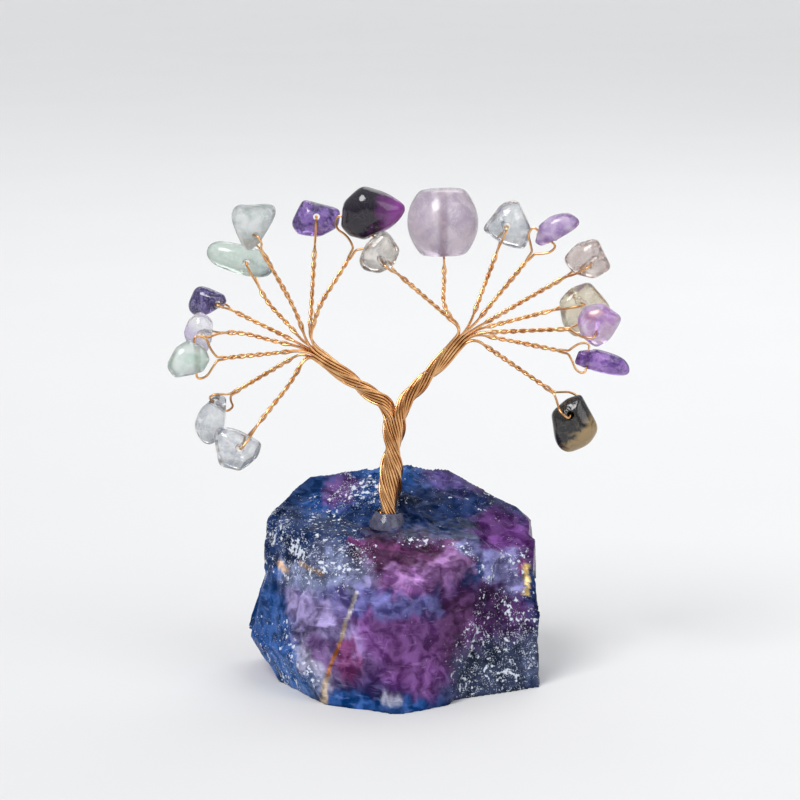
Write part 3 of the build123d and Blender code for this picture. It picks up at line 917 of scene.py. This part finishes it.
COLOUR_ZONES = (
    Zone((-16, 20), (-9, 24), 5.0, NAVY),
    Zone((-10, 26), (-2, 27), 3.0, BLUE, 0.8),
    Zone((0, 30), (6, 27), 4.6, BLUE),
    Zone((-8, 26), (-7, 26), 2.0, PURPLE, 0.8),
    Zone((7, 27.5), (14, 25), 2.6, PURPLE, 0.6),
    Zone((1, 23.6), (14, 23), 2.8, INK),
    Zone((14, 20.5), (18, 18.5), 3.0, MAGENTA),
    Zone((-15, 16), (-8, 17.5), 3.2, INK, 0.8),
    # Painted highlight: a faint pale streak along the front lump's top ridge
    Zone((-0.5, 20), (10, 19.4), 1.0, RIDGE_HIGHLIGHT_GREY, 0.3),
    Zone((-3, 17.5), (7, 16.8), 2.8, MULBERRY),
    Zone((-2.5, 14.4), (6.5, 14.6), 1.7, PINK),
    Zone((7, 16.2), (9, 17), 1.7, PINK, 0.8),
    Zone((-4, 8), (9, 6.5), 6.5, PURPLE),
    Zone((2, 4), (4, 3), 4.0, VIOLET),
    Zone((-11, 10), (-8.5, 5), 4.0, LAVENDER),
    Zone((-10, 5.5), (-8.5, 2.5), 1.6, VIOLET, 0.7),
    Zone((-14.5, 15.2), (-9, 14), 1.6, FROSTY),
    Zone((-9, 17), (-5, 14.5), 2.4, FROSTY, 0.7),
    Zone((-9, 12.6), (-7, 11.6), 1.3, INDIGO, 0.8),
    Zone((-4.5, 11.4), (5, 11), 1.6, INDIGO),
    Zone((9, 11), (8, 4), 2.2, MULBERRY, 0.7),
    Zone((-6.3, 5.5), (-6, 2), 1.4, WINE),
    Zone((-8, -1.6), (3, -2.8), 1.3, BLUE),
    Zone((-12.4, 4.2), (-9.6, 0.6), 1.2, PALE, 0.5),
    Zone((-0.8, -1.2), (0.4, -1.6), 0.9, PALE, 0.7),
    Zone((-18.5, 12), (-15.8, 1), 3.2, BLUE),
    Zone((-16.5, 1.5), (-12.5, -0.5), 2.2, AZURE, 0.8),
    Zone((14.5, 11.5), (16.5, 7), 3.4, PLUM),
    Zone((11.5, 1), (18.5, 2.5), 4.6, SLATE),
    Zone((15.6, 16.2), (16, 13.6), 1.9, MIST),
    # Painted highlight: pale streaks down the front lump's ridge
    Zone((9.5, 18.6), (12.4, 17.6), 0.9, RIDGE_HIGHLIGHT_BLUE),
    Zone((12.6, 17.4), (13, 14.2), 0.9, RIDGE_HIGHLIGHT_BLUE, 0.8),
    Zone((17.3, 16.4), (17.5, 15), 0.5, WINE),
    Zone((17.9, 15.8), (18.1, 12), 0.28, STRAW),
    Zone((-12.6, 16.4), (-9.6, 15), 0.28, OCHRE, 0.8),
    Zone((-15.6, 16), (-15, 15.4), 0.5, OCHRE, 0.8),
    Zone((-6, 19.4), (0.5, 18.4), 0.4, WINE, 0.7),
    Zone((-4.9, 12.7), (-6.5, 8.6), 0.24, CREAM, 0.8),
    Zone((-6.5, 8.6), (-7.3, 5.9), 0.24, SAND),
    Zone((-7.3, 5.9), (-9.2, 0.6), 0.24, RUST),
    Zone((-9.2, 0.6), (-9.4, -1.8), 0.4, SAND, 0.9),
)
FROST_ZONES = (
    Zone((-16, 18.5), (-9, 20.5), 5.5, FROST, 0.6),
    Zone((-17, 24), (-15.5, 20), 1.6, FROST, 0.75),
    Zone((-6, 26), (-2, 25), 2.6, FROST, 0.8),
    Zone((-13, 18.5), (-11.5, 17.5), 1.0, FROST, 1.0),
    Zone((-6.5, 17.5), (-4.5, 17), 2.4, FROST, 0.8),
    Zone((2, 26), (16, 24), 4.5, FROST, 0.35),
    Zone((-17, 6), (-13, 0.5), 3.6, FROST, 0.55),
    Zone((12, 1.5), (18, 4), 5.0, FROST, 0.8),
    Zone((14, 9), (16.5, 7), 3.0, FROST, 0.5),
    Zone((15.5, 16), (16.5, 12), 3.0, FROST, 0.6),
    Zone((-14, 15.5), (-7, 14), 2.0, FROST, 0.55),
    Zone((-2, 8), (8, 6), 7.0, FROST, 0.15),
    # Partly sugar frost, partly painted highlight: pale flecks along the front lump's ridge
    Zone((0.2, 19.6), (9.6, 18.7), 0.7, FROST, 0.6),
    Zone((9.6, 18.7), (12.7, 14.2), 0.7, FROST, 0.7),
    Zone((12.7, 14.2), (7.6, 0.6), 0.6, FROST, 0.6),
)


@dataclass
class FluoriteBlock:
    """The rough base: two cleaved lumps grown together, broken into flakes and sawn flat below.

    Each of rolls is a wavelength and a height in millimetres and a seed. Each of wobbles is a wavelength
    in millimetres, a share and a seed. shake_mm moves the zones' edges in front and behind.
    """

    width_mm: float = 39.3
    depth_mm: float = 35.2
    height_mm: float = 28.2
    heart_share: float = 0.39
    columns: int = 420
    rows: int = 216
    view_rise: float = 11.0
    flake_count: int = 300
    flake_slope: float = 0.075
    flake_seed: int = 5
    chip_ratio: int = 4
    chip_share: float = 0.4
    chip_seed: int = 6
    rolls: tuple[Wave, ...] = ((3.4, 0.1, 11), (0.9, 0.04, 12))
    tone_spread: float = 0.55
    wobbles: tuple[Wave, ...] = ((4.0, 1.0, 31), (1.3, 0.7, 33), (0.6, 0.3, 35))
    shake_mm: Pair = (0.7, 1.1)
    steady_mm: float = 1.5
    fade_end: float = 1.5
    front_turn: float = 1.6
    front_lean: float = 0.12
    back_scale: float = 0.8
    back_shift_mm: Spot = (4.0, 3.0)
    back_least_mm: float = 1.2
    finish: FluoriteFinish = FluoriteFinish()
    rear: tuple[Break, ...] = (
        Break(0, 2, 0.98), Break(-59, 8, 0.61), Break(-42, 34, 0.98), Break(11, 41, 1.22),
        Break(29, 46, 1.24), Break(-114, 51, 0.67), Break(-66, 51, 0.67), Break(90, 4, 0.94),
        Break(93, 34, 1.09), Break(143, 6, 0.94), Break(153, 37, 1.27), Break(39, 4, 1.03),
        Break(180, 1, 0.9), Break(-153, 4, 0.74), Break(-119, 7, 0.71), Break(180, -28, 1.04),
        Break(-153, -15, 0.91),
    )
    front: tuple[Break, ...] = (
        Break(-119, 7, 0.76), Break(-86, 6, 0.88), Break(-49, 5, 0.72), Break(-13, -10, 0.66),
        Break(-90, 75, 0.75), Break(-90, 54, 0.73), Break(-106, 44, 0.74), Break(180, 10, 0.92),
        Break(180, -28, 1.06), Break(-153, -15, 0.92), Break(-151, 9, 0.77), Break(90, 16, 0.52),
        Break(0, 41, 0.9),
    )

    def reach(self, ways: Array, breaks: tuple[Break, ...]) -> Array:
        """Distance from the heart to a lump's skin: the nearest break met along each direction."""
        halves = np.array([self.width_mm, self.depth_mm, self.height_mm]) / 2
        slopes = np.array([heading(item.azimuth, item.elevation) / halves / item.reach for item in breaks])
        return 1 / (ways @ slopes.T).max(-1)

    def surface(self) -> tuple[Array, Array]:
        """Grid of points in metres, by ring and place in the ring, from the top down.

        The block is where either lump is, so along a direction its skin lies at the greater of their
        reaches. Tilted flakes and two sizes of rolling noise roughen it, and the saw cuts it at the table.

        Returns:
            Points of the rings between the two poles, and the tones of their flakes.
        """
        heart = np.array([0, 0, self.height_mm * self.heart_share])
        turn = np.linspace(0, 2 * math.pi, self.columns, endpoint=False)
        tilt = np.linspace(0, math.pi, self.rows + 2)[1:-1]
        spoke = np.stack([np.cos(turn), np.sin(turn), np.zeros_like(turn)], -1)
        ways = np.sin(tilt)[:, None, None] * spoke + np.cos(tilt)[:, None, None] * np.array([0, 0, 1.0])
        reach = np.maximum(self.reach(ways, self.rear), self.reach(ways, self.front))
        skin = ways * reach[..., None]
        heights, tones = flake_marks(skin, self.flake_count, self.flake_slope, self.flake_seed)
        chips = flake_marks(skin, self.chip_ratio * self.flake_count, 0.0, self.chip_seed)[1]
        tones = (1 - self.chip_share) * tones + self.chip_share * chips
        reach = reach + heights
        for size, height, seed in self.rolls:
            reach = reach + height * wave_noise(skin, size, seed)
        sawn = np.where(ways[..., 2] < 0, heart[2] / np.maximum(-ways[..., 2], LEAST_FALL), np.inf)
        return (heart + ways * np.minimum(reach, sawn)[..., None]) * MM, tones

    def paint(self, points: Array, normals: Array, zones: tuple[Zone, ...], ground: Colour) -> Array:
        """Lays soft colour zones over a ground colour.

        Each zone fades with the distance from its middle line, seen from the front. Faces that look to
        the back take the broad zones alone, shifted and a little larger, and the two views fade into
        each other.

        Args:
            points: Places in millimetres, one a row.
            normals: Outward unit normals at the places.
            zones: The zones, each over those before it.
            ground: Colour where there is no zone.

        Returns:
            A colour for each place.
        """
        rise = math.radians(self.view_rise)
        toward = np.array([0, -math.cos(rise), math.sin(rise)])
        front = smooth_step(0.5 + self.front_turn * (normals @ toward + self.front_lean))[:, None]
        up = points[:, 1] * math.sin(rise) + points[:, 2] * math.cos(rise)
        back_up = points[:, 2] * math.cos(rise) - points[:, 1] * math.sin(rise)
        wobble = np.zeros((len(points), 2))
        for size, share, seed in self.wobbles:
            wobble += share * np.stack([wave_noise(points, size, seed + side) for side in (0, 1)], -1)
        seen = np.stack([points[:, 0], up], -1)
        unseen = self.back_scale * np.stack([points[:, 0], back_up], -1) + self.back_shift_mm
        result = np.zeros((len(points), 3))
        views = zip((seen, unseen), self.shake_mm, (front, 1 - front))
        for places, shake, weight in views:
            tints = np.tile(np.array(ground), (len(points), 1))
            for zone in zones:
                if places is unseen and zone.radius < self.back_least_mm:
                    continue
                spots = places + min(1.0, zone.radius / self.steady_mm) * shake * wobble
                start = np.array(zone.start)
                line = np.array(zone.end) - start
                share = np.clip(((spots - start) @ line) / max(line @ line, LEAST_LINE), 0, 1)
                apart = np.linalg.norm(spots - start - share[:, None] * line, axis=1)
                cover = zone.strength * smooth_step(self.fade_end - apart / zone.radius)[:, None]
                tints += (np.array(zone.tint) - tints) * cover
            result += tints * weight
        return result

    def build(self) -> Piece:
        """Makes the block with its colour zones, and puts it in place of the frame's solid."""
        rings, tones = self.surface()
        top = rings[0].mean(0)
        bottom = rings[-1].mean(0)
        points = np.concatenate([rings.reshape(-1, 3), top[None], bottom[None]])
        faces = ring_quads(self.rows, self.columns, closed=False).tolist()
        ring = np.arange(self.columns)
        after = np.roll(ring, -1)
        count = self.rows * self.columns
        last = (self.rows - 1) * self.columns
        faces += np.stack([ring, after, np.full_like(ring, count)], -1).tolist()
        faces += np.stack([last + after, last + ring, np.full_like(ring, count + 1)], -1).tolist()
        piece = mesh_piece("rough_fluorite_block", points, faces)
        normals = np.empty(3 * len(points), np.float32)
        piece.data.vertices.foreach_get("normal", normals)
        normals = normals.reshape(-1, 3)
        tints = self.paint(points / MM, normals, COLOUR_ZONES, NAVY)
        tints *= np.exp(self.tone_spread * np.append(tones.ravel(), [0, 0]))[:, None]
        zone = piece.data.attributes.new("zone", "FLOAT_COLOR", "POINT")
        zone.data.foreach_set("color", np.c_[tints, np.ones(len(tints))].astype(np.float32).ravel())
        frost = self.paint(points / MM, normals, FROST_ZONES, THIN_FROST)[:, 0]
        mask = piece.data.attributes.new("frost", "FLOAT", "POINT")
        mask.data.foreach_set("value", frost.astype(np.float32))
        piece.data.materials.append(self.finish.material())
        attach(piece, "tree")
        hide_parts("base_stone")
        return piece


@dataclass
class GlueFoot:
    """The glue round the trunk's foot, shaped by the frame."""

    finish: GlueFinish = GlueFinish()

    def dress(self, frame: dict) -> Piece:
        """Gives the glue its finish."""
        node = frame["nodes"]["glue_bead"]
        node.data.materials.clear()
        node.data.materials.append(self.finish.material())
        return node


@dataclass(frozen=True)
class Lamp:
    """A square soft lamp: the way to it from the aim in degrees, its watts, distance and side in metres."""

    name: str
    azimuth: float
    elevation: float
    power: float
    distance: float = 0.6
    side: float = 0.4


@dataclass
class Studio:
    """Pale sweep, soft lamps and the camera at the photograph's angle."""

    floor_tint: Colour = (0.80, 0.80, 0.80)
    floor_shade: float = 0.97
    floor_roughness: float = 0.9
    floor_grain_mm: float = 50.0
    sweep_width: float = 6.0
    sweep_front: float = -2.2
    sweep_back: float = 2.2
    sweep_bend: float = 0.4
    sweep_height: float = 1.6
    sweep_steps: int = 24
    camera_turn: float = -90.0
    camera_rise: float = 11.0
    camera_distance: float = 0.46
    view_width_mm: float = 108.0
    aim_mm: Way = (0.8, 0.0, 39.0)
    sensor_mm: float = 36.0
    sun_from: Pair = (-125.0, 48.0)
    sun_distance: float = 1.0
    sun_width: float = 28.0
    sun_strength: float = 1.8
    world_light: float = 0.45
    world_seen: float = 0.6
    world_low: float = 0.5
    world_rise: float = 0.6
    world_range: Pair = (-0.1, 0.8)
    world_tint: Colour = (0.95, 0.97, 1.0)
    lamps: tuple[Lamp, ...] = (Lamp("fill_lamp", -40, 30, 0.8), Lamp("back_lamp", 70, 50, 0.9))

    def sweep(self) -> Piece:
        """A floor that bends up into a backdrop: a flat run, a quarter circle and an upright run."""
        bend = np.linspace(0, math.pi / 2, self.sweep_steps)
        depth = np.concatenate([[self.sweep_front], self.sweep_back + self.sweep_bend * np.sin(bend)])
        rise = np.concatenate([[0.0], self.sweep_bend * (1 - np.cos(bend))])
        depth = np.append(depth, depth[-1])
        rise = np.append(rise, self.sweep_height)
        sides = np.array([-0.5, 0.5]) * self.sweep_width
        points = np.stack(np.broadcast_arrays(sides[None, :], depth[:, None], rise[:, None]), -1)
        first = 2 * np.arange(len(depth) - 1)
        faces = np.stack([first, first + 1, first + 3, first + 2], -1)
        piece = mesh_piece("studio_sweep", points, faces.tolist())
        material, nodes, shader = new_material("studio_paper")
        grain = nodes.noise(nodes.millimetres(), 1 / self.floor_grain_mm, detail=2.0)
        shaded = [self.floor_shade * value for value in self.floor_tint]
        tint = nodes.mix(grain, (*self.floor_tint, 1), (*shaded, 1))
        nodes.fill(shader, {"Base Color": tint, "Roughness": self.floor_roughness})
        piece.data.materials.append(material)
        return piece

    def place(self, name: str, data: bpy.types.ID, way: Vector, distance: float) -> Piece:
        """Puts a lamp or a camera where it looks at the aim.

        Args:
            name: Name of the object.
            data: Its lamp or camera data.
            way: Unit vector from the aim to it.
            distance: Metres from the aim.

        Returns:
            The new object, linked to the scene.
        """
        item = add_object(name, data)
        item.location = Vector(self.aim_mm) * MM + way * distance
        item.rotation_mode = "QUATERNION"
        item.rotation_quaternion = way.to_track_quat("Z", "Y")
        return item

    def light(self) -> None:
        """Hangs a soft sun and two lamps, and sets a plain world, palest overhead and where it is seen."""
        sun = bpy.data.lights.new("key_sun", "SUN")
        sun.energy = self.sun_strength
        sun.angle = math.radians(self.sun_width)
        self.place("key_sun", sun, Vector(heading(*self.sun_from)), self.sun_distance)
        for lamp in self.lamps:
            data = bpy.data.lights.new(lamp.name, "AREA")
            data.energy = lamp.power
            data.size = lamp.side
            self.place(lamp.name, data, Vector(heading(lamp.azimuth, lamp.elevation)), lamp.distance)
        world = bpy.data.worlds.new("studio_world")
        world.use_nodes = True
        nodes = Nodes(world.node_tree)
        path = nodes.add("LightPath").outputs
        seen = nodes.math("MAXIMUM", path["Is Camera Ray"], path["Is Glossy Ray"])
        seen = nodes.math("MAXIMUM", seen, path["Is Transmission Ray"])
        spare = self.world_seen - self.world_light
        strength = nodes.math("ADD", self.world_light, nodes.times(seen, spare))
        height = nodes.add("SeparateXYZ", {0: nodes.add("TexCoord").outputs["Generated"]}).outputs["Z"]
        rise = nodes.times(nodes.ramp(height, *self.world_range), self.world_rise)
        strength = nodes.times(strength, nodes.math("ADD", self.world_low, rise))
        background = world.node_tree.nodes["Background"]
        nodes.fill(background, {"Color": (*self.world_tint, 1), "Strength": strength})
        bpy.context.scene.world = world

    def camera(self) -> None:
        """Places the camera so that the view is as wide as the photograph at the object's middle."""
        data = bpy.data.cameras.new("photo_camera")
        data.sensor_width = self.sensor_mm
        data.lens = self.sensor_mm * self.camera_distance / (self.view_width_mm * MM)
        way = Vector(heading(self.camera_turn, self.camera_rise))
        bpy.context.scene.camera = self.place("photo_camera", data, way, self.camera_distance)

    def build(self) -> None:
        """Sets up the stage, the light, the camera and the plain view transform."""
        self.sweep()
        self.light()
        self.camera()
        bpy.context.scene.view_settings.view_transform = "Standard"


def main() -> None:
    """Builds every sub-assembly in order and logs the pieces it makes, with their face counts."""
    logging.basicConfig(level=logging.INFO, format="%(message)s")
    for item in list(bpy.data.objects):
        bpy.data.objects.remove(item)
    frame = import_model()
    block = FluoriteBlock().build()
    LOG.info("block: %s with %d faces", block.name, len(block.data.polygons))
    for stone in StoneCrown().build(frame):
        LOG.info("stone: %s with %d faces", stone.name, len(stone.data.polygons))
    LOG.info("wires: %d made smooth", len(WireTree().build(frame)))
    LOG.info("glue: %s dressed", GlueFoot().dress(frame).name)
    Studio().build()


if __name__ == "__main__":
    main()
